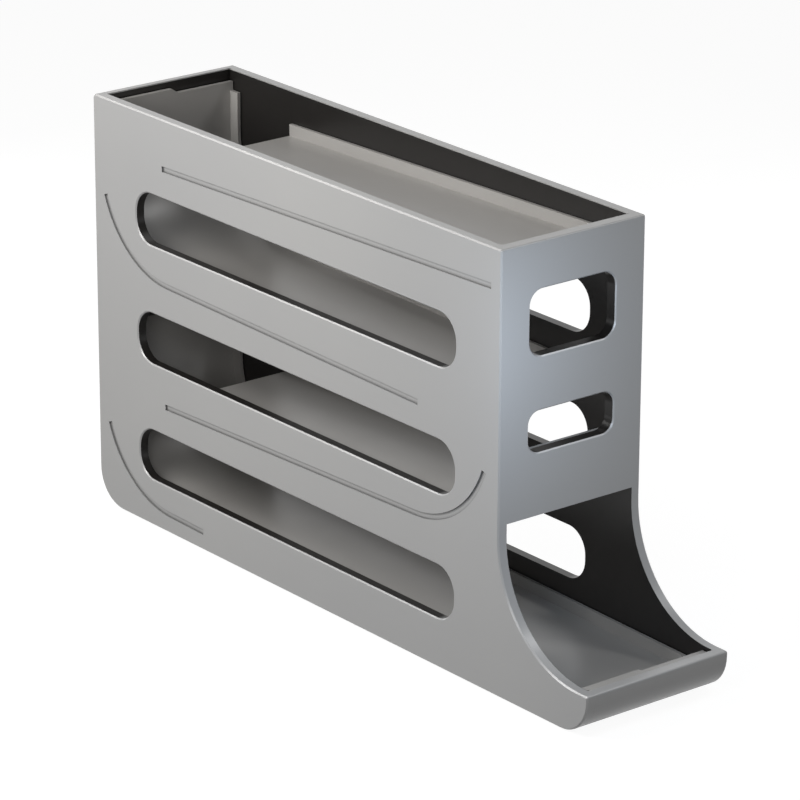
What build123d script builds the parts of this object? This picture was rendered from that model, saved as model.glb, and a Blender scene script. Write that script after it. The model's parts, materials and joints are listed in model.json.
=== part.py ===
from build123d import *
from math import acos, cos, degrees, radians, sin, tan
import os

# Rolling egg dispenser: four sloping slides in a tall narrow case.
# Eggs go in at the open top, roll to and fro down the slides, and stop in the tray at the front.
# X runs from the rear to the tray, Y across the case, Z up. The origin is on the surface that the
# dispenser stands on, under the middle of its overall length and width. All sizes are in millimetres.

# Case
height = 215.0
width = 85.0
body_length = 314.0
tray_reach = 63.0
side_wall = 5.0
front_wall = 6.0
rear_wall = 5.0
floor_wall = 3.0
lip_wall = 6.0
lip_height = 22.0
exit_height = 84.0
exit_radius = 56.0
lip_radius = 18.5
lip_inner_round = 1.0
heel_radius = 18.5
rear_top_round = 2.0
front_top_round = 1.0
lip_top_round = 1.0
edge_chamfer = 0.7
seam_rise = 4.0

# Windows in the sides
side_window_length = 247.5
side_window_height = 26.5
side_window_radius = 12.0
side_window_front = 31.5
side_window_low = 38.5
side_window_pitch = 61.6
side_window_rows = 3
window_chamfer = 0.6

# Windows in the front
front_window_width = 50.5
tall_window_height = 31.8
tall_window_middle = 176.5
tall_window_radius = 7.5
low_window_height = 20.2
low_window_middle = 124.5
low_window_radius = 6.5

# Slides: height of each one's underside at the middle of the body, and how it slopes
top_slide_below_rim = 22.3
second_floor = 128.8
third_floor = 69.7
bottom_floor = 8.9
rearward_slope = 1.55
forward_slope = 1.0
slide_thickness = 2.4
slide_clearance = 0.4
flange_height = 6.0
flange_thickness = 1.8
turn_radius = 52.0
drop_gap = 49.0
wall_gap = 1.0
top_guard_below_rim = 3.5
third_guard_top = 112.0
bottom_guard_top = 96.0
flange_end_drop = 7.0
guard_step_start = -0.4
guard_step_drop = 2.5
guard_step_run = 3.6

# Front end of the bottom slide
ledge_below_lip = 1.0
ledge_gap = 0.8
ledge_overhang = 2.2
ledge_thickness = 2.4
ledge_radius = 9.0
ledge_chamfer = 2.5
ledge_step_start = -2.0
ledge_step_drop = 1.0
ledge_step_run = 1.6

# What carries the slides
rail_depth = 4.0
rail_thickness = 2.4
seat_gap = 0.3
peg_diameter = 4.8
peg_length = 2.0
peg_inset = 24.0
peg_clearance = 0.25
sill_rib_thickness = 2.0
sill_rib_spread = 44.0
sill_rib_end = 20.0

# Shallow grooves that follow the slides on the outside
groove_width = 3.0
groove_depth = 0.9
groove_rise = 35.0
bottom_groove_front = 226.0

# Tongues that join the panels
tongue_thickness = 1.6
tongue_depth = 2.0
tongue_end = 8.0
tongue_clearance = 0.2

# Feet
foot_diameter = 14.0
foot_proud = 0.8
foot_recess = 1.2
foot_clearance = 0.2
foot_end_inset = 44.0
foot_side_inset = 16.5
foot_chamfer = 0.5

# Places that follow from the sizes
lip_x = (body_length + tray_reach) / 2
rear_x = -lip_x
front_x = rear_x + body_length
middle_x = (rear_x + front_x) / 2
base_z = foot_proud
floor_top = base_z + floor_wall
inner_width = width - 2 * side_wall
slide_width = inner_width - 2 * slide_clearance
seam_z = base_z + heel_radius + seam_rise
top_floor = height - top_slide_below_rim
top_guard_top = height - top_guard_below_rim
rear_guard_x = rear_x + rear_wall + wall_gap
front_guard_x = front_x - front_wall - wall_gap
rear_drop_x = rear_guard_x + slide_thickness + drop_gap
front_drop_x = front_guard_x - slide_thickness - drop_gap
ledge_wall_x = lip_x - lip_wall - ledge_gap - ledge_overhang
ledge_top = lip_height - ledge_below_lip
bottom_groove_x = front_x - bottom_groove_front
side_window_middle_x = front_x - side_window_front - side_window_length / 2
outer_turn_radius = turn_radius + slide_thickness
groove_steepness = degrees(acos(1 - groove_rise / outer_turn_radius))
strip_lift = slide_thickness / 2
flange_lift = (slide_thickness + flange_height) / 2
rib_rear_x = rear_guard_x + turn_radius
rib_front_x = ledge_wall_x - sill_rib_end
front_tongue_length = height - exit_height - 2 * tongue_end
front_tongue_middle = (front_x - front_wall / 2, (height + exit_height) / 2)
rear_tongue_length = height - seam_z - 2 * tongue_end
rear_tongue_middle = (rear_x + rear_wall / 2, (height + seam_z) / 2)
floor_tongue_length = body_length + tray_reach - 2 * (heel_radius + tongue_end)
floor_tongue_middle = (0, base_z + floor_wall / 2)
foot_places = [
    (x, y)
    for x in (rear_x + foot_end_inset, lip_x - foot_end_inset)
    for y in (foot_side_inset - width / 2, width / 2 - foot_side_inset)
]
foot_names = ("rear_left_foot", "rear_right_foot", "front_left_foot", "front_right_foot")


def underside(floor, slope, x):
    """Height of a slide's underside at x."""
    return floor + (x - middle_x) * tan(radians(slope))


def lifted(floor, slope, x, lift):
    """Point at x on the line that lies lift above a slide's underside."""
    return (x, underside(floor, slope, x) + lift / cos(radians(slope)))


def turn_centre(floor, slope, guard_x):
    """Centre of the arc that joins a slide's floor to its guard."""
    inward = 1 if guard_x < middle_x else -1
    centre_x = guard_x + inward * outer_turn_radius
    return (centre_x, lifted(floor, slope, centre_x, outer_turn_radius)[1])


def turned_line(floor, slope, end_x, guard_x, steepness, lift):
    """Line of a slide from its free end until the turn is as steep as stated, in degrees."""
    inward = 1 if guard_x < middle_x else -1
    centre_x, centre_z = turn_centre(floor, slope, guard_x)
    radius = outer_turn_radius - lift
    tangent_point = (
        centre_x + radius * sin(radians(slope)),
        centre_z - radius * cos(radians(slope)),
    )
    straight = Line(lifted(floor, slope, end_x, lift), tangent_point)
    sweep = steepness + inward * slope
    return JernArc(straight @ 1, straight % 1, radius, -inward * sweep)


def peg_places(floor, slope, rear_end, front_end):
    """Places of the two pegs on each side of a slide, as seen from the side."""
    lift = (slide_thickness + flange_height) / 2
    return [
        lifted(floor, slope, rear_end + peg_inset, lift),
        lifted(floor, slope, front_end - peg_inset, lift),
    ]


top_pegs = peg_places(top_floor, rearward_slope, rear_drop_x, front_guard_x)
second_pegs = peg_places(second_floor, -forward_slope, rear_guard_x + turn_radius, front_drop_x)
third_pegs = peg_places(third_floor, rearward_slope, rear_drop_x, front_guard_x - turn_radius)
bottom_pegs = peg_places(bottom_floor, -forward_slope, rear_guard_x + turn_radius, front_x)
all_pegs = top_pegs + second_pegs + third_pegs + bottom_pegs


# Left side panel: a flat plate with the outline of the whole case, three windows and outer grooves
with BuildPart() as left_side_panel:
    with BuildSketch(Plane.XZ.offset(inner_width / 2)):
        with BuildLine():
            FilletPolyline(
                (front_x, height - side_wall),
                (front_x, height),
                (rear_x, height),
                (rear_x, height - side_wall),
                radius=(front_top_round, rear_top_round),
            )
            FilletPolyline(
                (rear_x, height - side_wall),
                (rear_x, base_z),
                (middle_x, base_z),
                radius=heel_radius,
            )
            FilletPolyline(
                (middle_x, base_z),
                (lip_x, base_z),
                (lip_x, lip_height),
                (front_x + exit_radius, lip_height),
                radius=(lip_radius, lip_top_round),
            )
            RadiusArc(
                (front_x + exit_radius, lip_height),
                (front_x, lip_height + exit_radius),
                exit_radius,
            )
            Line((front_x, lip_height + exit_radius), (front_x, height - side_wall))
        make_face()
    extrude(amount=side_wall)
    chamfer(edges().group_by(Axis.Y)[0], length=edge_chamfer)
    with BuildSketch(Plane.XZ.offset(inner_width / 2)):
        rows_middle = side_window_low + side_window_pitch * (side_window_rows - 1) / 2
        with Locations((side_window_middle_x, rows_middle)):
            with GridLocations(0, side_window_pitch, 1, side_window_rows):
                RectangleRounded(side_window_length, side_window_height, side_window_radius)
    extrude(amount=side_wall, mode=Mode.SUBTRACT)
    outer_face = faces().sort_by(Axis.Y)[0]
    chamfer([edge for wire in outer_face.inner_wires() for edge in wire.edges()], length=window_chamfer)

    # Outer grooves
    with BuildSketch(Plane.XZ.offset(width / 2 - groove_depth)):
        with BuildLine():
            Line(
                lifted(top_floor, rearward_slope, rear_drop_x, 0),
                lifted(top_floor, rearward_slope, front_guard_x, 0),
            )
        trace(line_width=groove_width)
        with BuildLine():
            turned_line(second_floor, -forward_slope, front_drop_x, rear_guard_x, groove_steepness, 0)
        trace(line_width=groove_width)
        with BuildLine():
            turned_line(third_floor, rearward_slope, rear_drop_x, front_guard_x, groove_steepness, 0)
        trace(line_width=groove_width)
        with BuildLine():
            turned_line(bottom_floor, -forward_slope, bottom_groove_x, rear_guard_x, groove_steepness, 0)
        trace(line_width=groove_width)
    extrude(amount=groove_depth, mode=Mode.SUBTRACT)

    # Rails that carry the upper three slides
    with BuildSketch(Plane.XZ.offset(inner_width / 2)):
        rail_drop = -seat_gap - rail_thickness / 2
        with BuildLine():
            Line(
                lifted(top_floor, rearward_slope, rear_drop_x, rail_drop),
                lifted(top_floor, rearward_slope, front_guard_x, rail_drop),
            )
        trace(line_width=rail_thickness)
        with BuildLine():
            Line(
                lifted(second_floor, -forward_slope, rear_guard_x + turn_radius, rail_drop),
                lifted(second_floor, -forward_slope, front_drop_x, rail_drop),
            )
        trace(line_width=rail_thickness)
        with BuildLine():
            Line(
                lifted(third_floor, rearward_slope, rear_drop_x, rail_drop),
                lifted(third_floor, rearward_slope, front_guard_x - turn_radius, rail_drop),
            )
        trace(line_width=rail_thickness)
    extrude(amount=-rail_depth)

    # Sockets for the slides' pegs, and slots for the tongues of the other panels
    with BuildSketch(Plane.XZ.offset(inner_width / 2)):
        with Locations(*all_pegs):
            Circle(peg_diameter / 2 + peg_clearance)
    extrude(amount=peg_length + slide_clearance, mode=Mode.SUBTRACT)
    with BuildSketch(Plane.XZ.offset(inner_width / 2)):
        with Locations(front_tongue_middle):
            Rectangle(tongue_thickness + 2 * tongue_clearance, front_tongue_length + 2 * tongue_clearance)
        with Locations(rear_tongue_middle):
            Rectangle(tongue_thickness + 2 * tongue_clearance, rear_tongue_length + 2 * tongue_clearance)
        with Locations(floor_tongue_middle):
            Rectangle(floor_tongue_length + 2 * tongue_clearance, tongue_thickness + 2 * tongue_clearance)
    extrude(amount=tongue_depth + tongue_clearance, mode=Mode.SUBTRACT)
left_side_panel.part.label = "left_side_panel"

# Right side panel: the mirror image of the left one
with BuildPart() as right_side_panel:
    mirror(left_side_panel.part, about=Plane.XZ)
right_side_panel.part.label = "right_side_panel"

# Front panel: closes the front above the exit, with two windows
with BuildPart() as front_panel:
    with BuildSketch(Plane.XZ):
        with Locations((front_x, exit_height)):
            Rectangle(front_wall, height - exit_height, align=(Align.MAX, Align.MIN))
        front_top = vertices().group_by(Axis.Y)[-1].sort_by(Axis.X)[-1]
        fillet(front_top, radius=front_top_round)
    extrude(amount=inner_width / 2, both=True)
    with BuildSketch(Plane.XZ):
        with Locations(front_tongue_middle):
            Rectangle(tongue_thickness, front_tongue_length)
    extrude(amount=inner_width / 2 + tongue_depth, both=True)
    with BuildSketch(Plane.YZ.offset(front_x)):
        with Locations((0, tall_window_middle)):
            RectangleRounded(front_window_width, tall_window_height, tall_window_radius)
        with Locations((0, low_window_middle)):
            RectangleRounded(front_window_width, low_window_height, low_window_radius)
    extrude(amount=-front_wall, mode=Mode.SUBTRACT)
    outer_face = faces().filter_by(Axis.X).sort_by(Axis.X)[-1]
    chamfer([edge for wire in outer_face.inner_wires() for edge in wire.edges()], length=window_chamfer)
front_panel.part.label = "front_panel"

# Rear panel: a plain wall that stands on the floor's upturned rear edge
with BuildPart() as rear_panel:
    with BuildSketch(Plane.XZ):
        with Locations((rear_x, seam_z)):
            Rectangle(rear_wall, height - seam_z, align=(Align.MIN, Align.MIN))
        rear_top = vertices().group_by(Axis.Y)[-1].sort_by(Axis.X)[0]
        fillet(rear_top, radius=rear_top_round)
    extrude(amount=inner_width / 2, both=True)
    with BuildSketch(Plane.XZ):
        with Locations(rear_tongue_middle):
            Rectangle(tongue_thickness, rear_tongue_length)
    extrude(amount=inner_width / 2 + tongue_depth, both=True)
rear_panel.part.label = "rear_panel"

# Floor tray: the floor of the case, turned up at the rear and into the lip of the tray at the front
with BuildPart() as floor_tray:
    with BuildSketch(Plane.XZ):
        with BuildLine():
            FilletPolyline(
                (rear_x, seam_z),
                (rear_x, base_z),
                (lip_x, base_z),
                (lip_x, lip_height),
                (lip_x - lip_wall / 2, lip_height),
                radius=(heel_radius, lip_radius, lip_top_round),
            )
            FilletPolyline(
                (lip_x - lip_wall / 2, lip_height),
                (lip_x - lip_wall, lip_height),
                (lip_x - lip_wall, floor_top),
                (rear_x + rear_wall, floor_top),
                (rear_x + rear_wall, seam_z),
                radius=(lip_inner_round, lip_radius - lip_wall, heel_radius - rear_wall),
            )
            Line((rear_x + rear_wall, seam_z), (rear_x, seam_z))
        make_face()
    extrude(amount=inner_width / 2, both=True)
    with BuildSketch(Plane.XZ):
        with Locations(floor_tongue_middle):
            Rectangle(floor_tongue_length, tongue_thickness)
    extrude(amount=inner_width / 2 + tongue_depth, both=True)

    # Ribs under the bottom slide
    for side in (-1, 1):
        with BuildSketch(Plane.XZ.offset(side * sill_rib_spread / 2)):
            with BuildLine():
                Polyline(
                    (rib_rear_x, floor_top),
                    (rib_front_x, floor_top),
                    lifted(bottom_floor, -forward_slope, rib_front_x, -seat_gap),
                    lifted(bottom_floor, -forward_slope, rib_rear_x, -seat_gap),
                    close=True,
                )
            make_face()
        extrude(amount=sill_rib_thickness / 2, both=True)

    # Round recesses for the feet
    with BuildSketch(Plane.XY.offset(base_z)):
        with Locations(*foot_places):
            Circle(foot_diameter / 2 + foot_clearance)
    extrude(amount=foot_recess, mode=Mode.SUBTRACT)
floor_tray.part.label = "floor_tray"


def flanged_slide(line, pegs):
    """A slide: a strip along its line, with a flange and two pegs at each side."""
    with BuildPart() as slide:
        with BuildSketch(Plane.XZ):
            with BuildLine():
                line(strip_lift)
            trace(line_width=slide_thickness)
        extrude(amount=slide_width / 2, both=True)
        for side in (-1, 1):
            with BuildSketch(Plane.XZ.offset(side * slide_width / 2)):
                with BuildLine():
                    line(flange_lift)
                trace(line_width=slide_thickness + flange_height)
            extrude(amount=-side * flange_thickness)
            with BuildSketch(Plane.XZ.offset(side * slide_width / 2)):
                with Locations(*pegs):
                    Circle(peg_diameter / 2)
            extrude(amount=side * (slide_clearance + peg_length))
    return slide


def stepped_edge(top, start, drop, run):
    """What is cut from a crosswise edge so that it steps down and stays low to the right."""
    Polygon(
        (start, top),
        (start + run, top - drop),
        (slide_width / 2, top - drop),
        (slide_width / 2, top),
        align=None,
    )


def top_line(lift):
    """Straight line of the top slide."""
    Line(
        lifted(top_floor, rearward_slope, rear_drop_x, lift),
        lifted(top_floor, rearward_slope, front_guard_x, lift),
    )


def second_line(lift):
    """Line of the second slide, whose guard reaches almost to the rim."""
    turn = turned_line(second_floor, -forward_slope, front_drop_x, rear_guard_x, 90, lift)
    Line(turn @ 1, (rear_guard_x + lift, top_guard_top))


def third_line(lift):
    """Line of the third slide, turned up behind the front panel."""
    centre_z = turn_centre(third_floor, rearward_slope, front_guard_x)[1]
    steepness = degrees(acos((centre_z - third_guard_top) / outer_turn_radius))
    turned_line(third_floor, rearward_slope, rear_drop_x, front_guard_x, steepness, lift)


def bottom_line(lift):
    """Line of the bottom slide, turned up at both ends."""
    FilletPolyline(
        (rear_guard_x + lift, bottom_guard_top),
        lifted(bottom_floor, -forward_slope, rear_guard_x + lift, lift),
        lifted(bottom_floor, -forward_slope, ledge_wall_x - lift, lift),
        (ledge_wall_x - lift, ledge_top),
        radius=(outer_turn_radius - lift, ledge_radius + slide_thickness - lift),
    )


# Top slide: straight, open above, falls to the rear
top_slide = flanged_slide(top_line, top_pegs)
top_slide.part.label = "top_slide"

# Second slide: falls to the front; the edge of its rear guard steps down towards the right
with BuildPart() as second_slide:
    add(flanged_slide(second_line, second_pegs).part)
    with BuildSketch(Plane.XZ):
        with Locations((rear_guard_x + slide_thickness, top_guard_top)):
            Rectangle(flange_height, flange_end_drop, align=(Align.MIN, Align.MAX))
    extrude(amount=slide_width / 2, both=True, mode=Mode.SUBTRACT)
    with BuildSketch(Plane.YZ.offset(rear_guard_x)):
        stepped_edge(top_guard_top, guard_step_start, guard_step_drop, guard_step_run)
    extrude(amount=slide_thickness, mode=Mode.SUBTRACT)
second_slide.part.label = "second_slide"

# Third slide: falls to the rear
third_slide = flanged_slide(third_line, third_pegs)
third_slide.part.label = "third_slide"

# Bottom slide: falls to the front and ends in a flat-topped ledge behind the lip
with BuildPart() as bottom_slide:
    add(flanged_slide(bottom_line, bottom_pegs).part)
    with BuildSketch(Plane.XZ):
        with Locations((ledge_wall_x - slide_thickness, ledge_top)):
            Rectangle(flange_height, flange_end_drop, align=(Align.MAX, Align.MAX))
    extrude(amount=slide_width / 2, both=True, mode=Mode.SUBTRACT)
    with BuildSketch(Plane.XY.offset(ledge_top)):
        with Locations((ledge_wall_x - slide_thickness, 0)):
            Rectangle(slide_thickness + ledge_overhang, slide_width, align=(Align.MIN, Align.CENTER))
        chamfer(vertices().group_by(Axis.X)[-1], length=ledge_chamfer)
    extrude(amount=-ledge_thickness)
    with BuildSketch(Plane.YZ.offset(ledge_wall_x - slide_thickness)):
        stepped_edge(ledge_top, ledge_step_start, ledge_step_drop, ledge_step_run)
    extrude(amount=slide_thickness + ledge_overhang, mode=Mode.SUBTRACT)
bottom_slide.part.label = "bottom_slide"

# Feet: four soft discs pressed into the floor
feet = []
for name, place in zip(foot_names, foot_places):
    with BuildPart() as foot:
        with BuildSketch():
            with Locations(place):
                Circle(foot_diameter / 2)
        extrude(amount=foot_proud + foot_recess)
        chamfer(edges().group_by(Axis.Z)[0], length=foot_chamfer)
    foot.part.label = name
    feet.append(foot)

os.makedirs("parts", exist_ok=True)
export_step(left_side_panel.part, "parts/left_side_panel.step")
export_step(right_side_panel.part, "parts/right_side_panel.step")
export_step(front_panel.part, "parts/front_panel.step")
export_step(rear_panel.part, "parts/rear_panel.step")
export_step(floor_tray.part, "parts/floor_tray.step")
export_step(top_slide.part, "parts/top_slide.step")
export_step(second_slide.part, "parts/second_slide.step")
export_step(third_slide.part, "parts/third_slide.step")
export_step(bottom_slide.part, "parts/bottom_slide.step")
for foot in feet:
    export_step(foot.part, f"parts/{foot.part.label}.step")
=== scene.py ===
import bpy
import json
from math import radians
from mathutils import Matrix, Vector


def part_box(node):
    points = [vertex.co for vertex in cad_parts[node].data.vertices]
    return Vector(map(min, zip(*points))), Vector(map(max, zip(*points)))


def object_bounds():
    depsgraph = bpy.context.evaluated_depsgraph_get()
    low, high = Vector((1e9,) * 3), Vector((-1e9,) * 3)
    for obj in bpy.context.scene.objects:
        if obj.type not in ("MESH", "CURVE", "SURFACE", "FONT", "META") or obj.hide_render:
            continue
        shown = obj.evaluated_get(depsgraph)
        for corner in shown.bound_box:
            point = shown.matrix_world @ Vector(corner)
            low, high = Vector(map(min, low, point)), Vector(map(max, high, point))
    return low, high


# Rolling egg dispenser: finishes, floor, light and camera. Lengths are in metres.

# Walls of the case and height of the feet
side_wall = 0.005
front_wall = 0.006
rear_wall = 0.005
floor_wall = 0.003
lip_wall = 0.006
foot_proud = 0.0008

# Where the dark inside of the case begins
skin = 0.0001
paint_wrap = 0.0006
window_end_margin = 0.0125
window_edge_margin = 0.0015
front_window_margin = 0.003

# Painted shade: darkening of the colour in narrow grooves and gaps
crease_shade_reach = 0.0016
crease_shade_samples = 12
crease_shade_depth = 0.9
crease_shade_power = 1.6

# Colours, linear
silver = (0.44, 0.44, 0.436, 1)
silver_shade = (0.41, 0.411, 0.412, 1)
inside_dark = (0.016, 0.0145, 0.0135, 1)
slide_grey = (0.42, 0.41, 0.395, 1)
slide_shade = (0.385, 0.375, 0.36, 1)
foot_black = (0.02, 0.02, 0.021, 1)
foot_shade = (0.03, 0.03, 0.03, 1)
floor_pale = (0.18, 0.18, 0.18, 1)
white = (1, 1, 1, 1)

# Finishes: lowest and highest roughness, scale of the grain and its height
case_finish = (0.31, 0.35, 1500, 0.000008)
slide_finish = (0.3, 0.34, 1200, 0.000004)
foot_finish = (0.75, 0.9, 3000, 0.00008)
case_metallic = 0.1
case_tone_scale = 7
plain_tone_scale = 9
tone_detail = 2
uneven_scale = 55
uneven_detail = 3
grain_detail = 1
grain_strength = 0.5
noise_low = 0.3
noise_high = 0.7

# Floor and surroundings
floor_half = 6.0
floor_roughness = 0.9
floor_glow = 0.93
world_level = 0.12

# Lamps: place, target, size across, power in watts and colour
lamps = {
    "key": ((-0.13, -0.4, 0.41), (-0.02, 0.0, 0.13), 0.24, 1.75, (1.0, 0.985, 0.965)),
    "front_fill": ((0.207, -0.07, 0.176), (0.125, -0.03, 0.155), 0.06, 0.082, (0.72, 0.84, 1.0)),
    "near_edge": ((0.4, -0.55, 0.37), (0.15, -0.04, 0.08), 0.15, 0.62, (1.0, 0.99, 0.98)),
    "rear_edge": ((-0.62, -0.32, 0.67), (-0.05, 0.0, 0.2), 0.3, 1.3, (1.0, 0.98, 0.96)),
    "front_edge": ((0.4, 0.47, 0.8), (0.14, 0.0, 0.15), 0.14, 0.9, (1.0, 1.0, 1.0)),
    "far_fill": ((-0.02, 0.75, 0.13), (0.0, 0.04, 0.1), 0.24, 1.8, (1.0, 1.0, 1.0)),
    "rear_fill": ((-0.75, 0.0, 0.13), (-0.19, 0.0, 0.1), 0.22, 0.8, (1.0, 1.0, 1.0)),
}

# Camera, as it stood for the photograph. Angles are in degrees, lens and sensor in millimetres.
camera_place = (1.5565, -1.2451, 0.8297)
camera_azimuth = 51.32
camera_elevation = 20.13
camera_roll = 0.227
camera_lens = 200.88
camera_sensor = 36
camera_reach = 20


def node(tree, kind, **settings):
    """Adds a shader node and sets its properties."""
    made = tree.nodes.new(kind)
    for key, value in settings.items():
        setattr(made, key, value)
    return made


def feed(tree, socket, value):
    """Links a socket to another one, or sets it to a plain value."""
    if isinstance(value, bpy.types.NodeSocket):
        tree.links.new(value, socket)
    else:
        socket.default_value = value


def maths(tree, operation, first, second):
    """A Math node on sockets or numbers."""
    made = node(tree, "ShaderNodeMath", operation=operation)
    feed(tree, made.inputs[0], first)
    feed(tree, made.inputs[1], second)
    return made.outputs[0]


def noise(tree, place, scale, detail):
    """A noise texture in the part's own coordinates."""
    made = node(tree, "ShaderNodeTexNoise")
    made.inputs["Scale"].default_value = scale
    made.inputs["Detail"].default_value = detail
    tree.links.new(place, made.inputs["Vector"])
    return made.outputs["Fac"]


def spread(tree, value, low, high):
    """Maps the usual reach of a noise value to a range."""
    made = node(tree, "ShaderNodeMapRange")
    made.inputs["From Min"].default_value = noise_low
    made.inputs["From Max"].default_value = noise_high
    made.inputs["To Min"].default_value = low
    made.inputs["To Max"].default_value = high
    tree.links.new(value, made.inputs["Value"])
    return made.outputs["Result"]


def mixed(tree, factor, first, second, blend="MIX"):
    """Blends two colours or sockets by a factor."""
    made = node(tree, "ShaderNodeMix", data_type="RGBA", blend_type=blend)
    feed(tree, made.inputs["Factor"], factor)
    colours = [socket for socket in made.inputs if socket.type == "RGBA"]
    feed(tree, colours[0], first)
    feed(tree, colours[1], second)
    return [socket for socket in made.outputs if socket.type == "RGBA"][0]


def box_mask(tree, place, low, high):
    """1 inside a box and 0 outside it."""
    centre = (Vector(low) + Vector(high)) / 2
    half = (Vector(high) - Vector(low)) / 2
    offset = node(tree, "ShaderNodeVectorMath", operation="SUBTRACT")
    tree.links.new(place, offset.inputs[0])
    offset.inputs[1].default_value = centre
    size = node(tree, "ShaderNodeVectorMath", operation="ABSOLUTE")
    tree.links.new(offset.outputs[0], size.inputs[0])
    beyond = node(tree, "ShaderNodeVectorMath", operation="SUBTRACT")
    tree.links.new(size.outputs[0], beyond.inputs[0])
    beyond.inputs[1].default_value = half
    split = node(tree, "ShaderNodeSeparateXYZ")
    tree.links.new(beyond.outputs[0], split.inputs[0])
    furthest = maths(tree, "MAXIMUM", split.outputs[0], split.outputs[1])
    furthest = maths(tree, "MAXIMUM", furthest, split.outputs[2])
    return maths(tree, "LESS_THAN", furthest, 0.0)


def painted_crease_shade(tree, colour):
    """Darkens a colour with painted shade in narrow grooves and gaps."""
    open_sky = node(tree, "ShaderNodeAmbientOcclusion", samples=crease_shade_samples)
    open_sky.inputs["Distance"].default_value = crease_shade_reach
    shade = maths(tree, "POWER", open_sky.outputs["AO"], crease_shade_power)
    return mixed(tree, crease_shade_depth, colour, shade, "MULTIPLY")


def base_material(name):
    """A material, its node tree and shader, and the part's own coordinates."""
    material = bpy.data.materials.new(name)
    material.use_nodes = True
    tree = material.node_tree
    shader = tree.nodes["Principled BSDF"]
    place = node(tree, "ShaderNodeTexCoord").outputs["Object"]
    return material, tree, shader, place


def moulded_finish(tree, shader, place, finish):
    """Fine moulded grain in the bump, and a slightly uneven roughness."""
    rough_low, rough_high, grain_scale, grain_height = finish
    uneven = noise(tree, place, uneven_scale, uneven_detail)
    tree.links.new(spread(tree, uneven, rough_low, rough_high), shader.inputs["Roughness"])
    bump = node(tree, "ShaderNodeBump")
    bump.inputs["Strength"].default_value = grain_strength
    bump.inputs["Distance"].default_value = grain_height
    tree.links.new(noise(tree, place, grain_scale, grain_detail), bump.inputs["Height"])
    tree.links.new(bump.outputs["Normal"], shader.inputs["Normal"])


def case_material(dark_boxes):
    """Silver outside that wraps over rims and edges, and dark inside the boxes."""
    material, tree, shader, place = base_material("case_silver")
    tone = spread(tree, noise(tree, place, case_tone_scale, tone_detail), 0.0, 1.0)
    outside = mixed(tree, tone, silver, silver_shade)
    dark = 0.0
    for low, high in dark_boxes:
        dark = maths(tree, "MAXIMUM", dark, box_mask(tree, place, low, high))
    painted = mixed(tree, dark, outside, inside_dark)
    # Painted shade darkens the base colour in grooves and gaps
    tree.links.new(painted_crease_shade(tree, painted), shader.inputs["Base Color"])
    shader.inputs["Metallic"].default_value = case_metallic
    moulded_finish(tree, shader, place, case_finish)
    return material


def plain_material(name, colour, shade, finish):
    """Plain moulded material with a slight change of tone."""
    material, tree, shader, place = base_material(name)
    tone = spread(tree, noise(tree, place, plain_tone_scale, tone_detail), 0.0, 1.0)
    tree.links.new(mixed(tree, tone, colour, shade), shader.inputs["Base Color"])
    moulded_finish(tree, shader, place, finish)
    return material


def give(name, material):
    """Puts a material in every slot of a node."""
    target = frame["nodes"][name]
    if not target.material_slots:
        target.data.materials.append(material)
    for slot in target.material_slots:
        slot.material = material


def background_rays(tree):
    """1 for rays that show the background as such: seen, mirrored or through something clear."""
    path = node(tree, "ShaderNodeLightPath")
    mirrored = maths(tree, "MAXIMUM", path.outputs["Is Camera Ray"], path.outputs["Is Glossy Ray"])
    return maths(tree, "MAXIMUM", mirrored, path.outputs["Is Transmission Ray"])


def floor_material():
    """Pale floor that shows white and keeps the object's shadow."""
    material = bpy.data.materials.new("floor_pale")
    material.use_nodes = True
    tree = material.node_tree
    shader = tree.nodes["Principled BSDF"]
    shader.inputs["Base Color"].default_value = floor_pale
    shader.inputs["Roughness"].default_value = floor_roughness
    shader.inputs["Specular IOR Level"].default_value = 0.0
    shader.inputs["Emission Color"].default_value = white
    glow = maths(tree, "MULTIPLY", background_rays(tree), floor_glow)
    tree.links.new(glow, shader.inputs["Emission Strength"])
    return material


def make_floor():
    """A large flat floor under the object."""
    mesh = bpy.data.meshes.new("floor")
    corners = [
        (-floor_half, -floor_half, 0),
        (floor_half, -floor_half, 0),
        (floor_half, floor_half, 0),
        (-floor_half, floor_half, 0),
    ]
    mesh.from_pydata(corners, [], [(0, 1, 2, 3)])
    floor = bpy.data.objects.new("floor", mesh)
    bpy.context.scene.collection.objects.link(floor)
    mesh.materials.append(floor_material())


def make_world():
    """Even white surroundings, dimmer as a light than as a background."""
    world = bpy.data.worlds.new("surroundings")
    bpy.context.scene.world = world
    world.use_nodes = True
    tree = world.node_tree
    back = tree.nodes["Background"]
    back.inputs["Color"].default_value = white
    shown = maths(tree, "MULTIPLY", background_rays(tree), 1.0 - world_level)
    tree.links.new(maths(tree, "ADD", shown, world_level), back.inputs["Strength"])


def make_lamp(name, place, target, size, power, colour):
    """A soft square lamp that points at a target."""
    lamp = bpy.data.lights.new(name, "AREA")
    lamp.shape = "SQUARE"
    lamp.size = size
    lamp.energy = power
    lamp.color = colour
    light = bpy.data.objects.new(name, lamp)
    bpy.context.scene.collection.objects.link(light)
    light.location = place
    direction = Vector(target) - Vector(place)
    light.rotation_euler = direction.to_track_quat("-Z", "Y").to_euler()
    light.visible_camera = False


def make_camera():
    """The camera at the photograph's place and angle."""
    data = bpy.data.cameras.new("camera")
    data.lens = camera_lens
    data.sensor_width = camera_sensor
    data.clip_end = camera_reach
    camera = bpy.data.objects.new("camera", data)
    bpy.context.scene.collection.objects.link(camera)
    turn = Matrix.Rotation(radians(camera_azimuth), 4, "Z")
    tilt = Matrix.Rotation(radians(90 - camera_elevation), 4, "X")
    roll = Matrix.Rotation(radians(camera_roll), 4, "Z")
    camera.matrix_world = Matrix.Translation(camera_place) @ turn @ tilt @ roll
    bpy.context.scene.camera = camera


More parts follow.
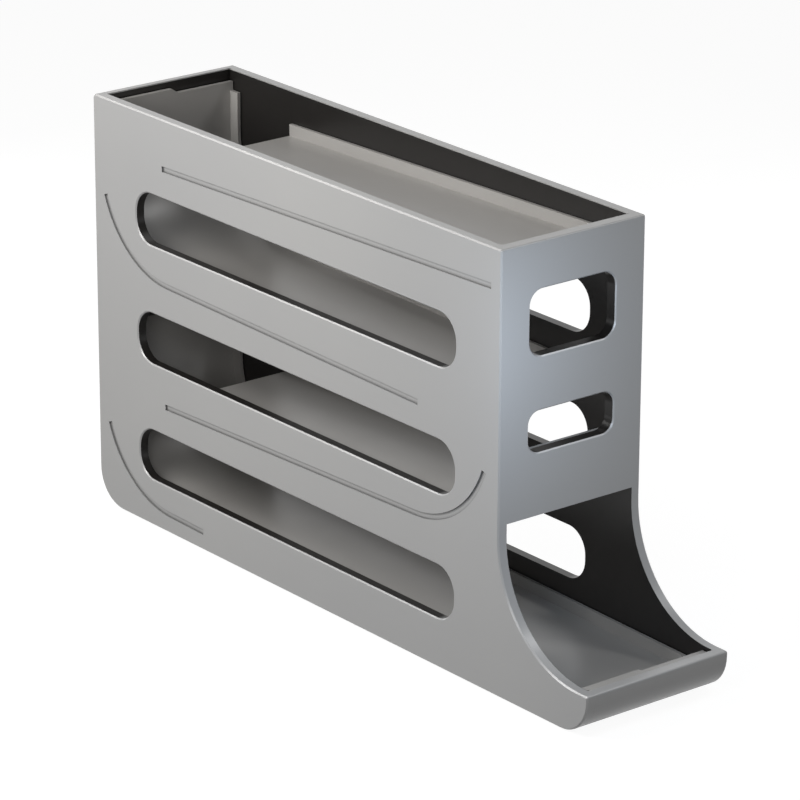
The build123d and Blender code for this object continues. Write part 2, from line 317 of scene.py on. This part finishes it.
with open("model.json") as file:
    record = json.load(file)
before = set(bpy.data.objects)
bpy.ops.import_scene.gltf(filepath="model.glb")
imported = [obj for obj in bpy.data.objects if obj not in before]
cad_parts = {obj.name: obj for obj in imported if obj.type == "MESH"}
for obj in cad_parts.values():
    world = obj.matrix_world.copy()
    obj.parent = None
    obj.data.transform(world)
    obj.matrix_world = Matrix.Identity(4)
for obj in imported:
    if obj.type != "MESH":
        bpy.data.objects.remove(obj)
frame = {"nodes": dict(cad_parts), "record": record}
cad_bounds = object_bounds()

# The case is dark on its window walls behind the painted edge, and on its inside faces
case_low, case_high = cad_bounds
front_low, front_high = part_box("front_panel")
inner_half = case_high.y - side_wall + skin
tray_floor = foot_proud + floor_wall - skin
dark_boxes = [
    (
        (case_low.x + rear_wall - skin, -inner_half, tray_floor),
        (front_high.x - front_wall + skin, inner_half, case_high.z - paint_wrap),
    ),
    (
        (front_high.x - front_wall - skin, -inner_half, tray_floor),
        (case_high.x - lip_wall + skin, inner_half, front_low.z - skin),
    ),
]
for opening in frame["record"]["physics"]["openings"]:
    if not opening["name"].endswith("window"):
        continue
    low, high = (Vector(corner) for corner in opening["box_m"])
    if opening["name"].startswith("front"):
        low -= Vector((0, front_window_margin, front_window_margin))
        high += Vector((0, front_window_margin, front_window_margin))
        high.x = front_high.x - paint_wrap
    else:
        low -= Vector((window_end_margin, 0, window_edge_margin))
        high += Vector((window_end_margin, 0, window_edge_margin))
        low.y = max(low.y, case_low.y + paint_wrap)
        high.y = min(high.y, case_high.y - paint_wrap)
    dark_boxes.append((low, high))

case = case_material(dark_boxes)
slides = plain_material("slide_grey", slide_grey, slide_shade, slide_finish)
feet = plain_material("foot_rubber", foot_black, foot_shade, foot_finish)
for name in frame["nodes"]:
    if name.endswith("foot"):
        give(name, feet)
    elif name.endswith("slide"):
        give(name, slides)
    else:
        give(name, case)

make_floor()
make_world()
for name, settings in lamps.items():
    make_lamp(name, *settings)
make_camera()
bpy.context.scene.view_settings.view_transform = "Standard"
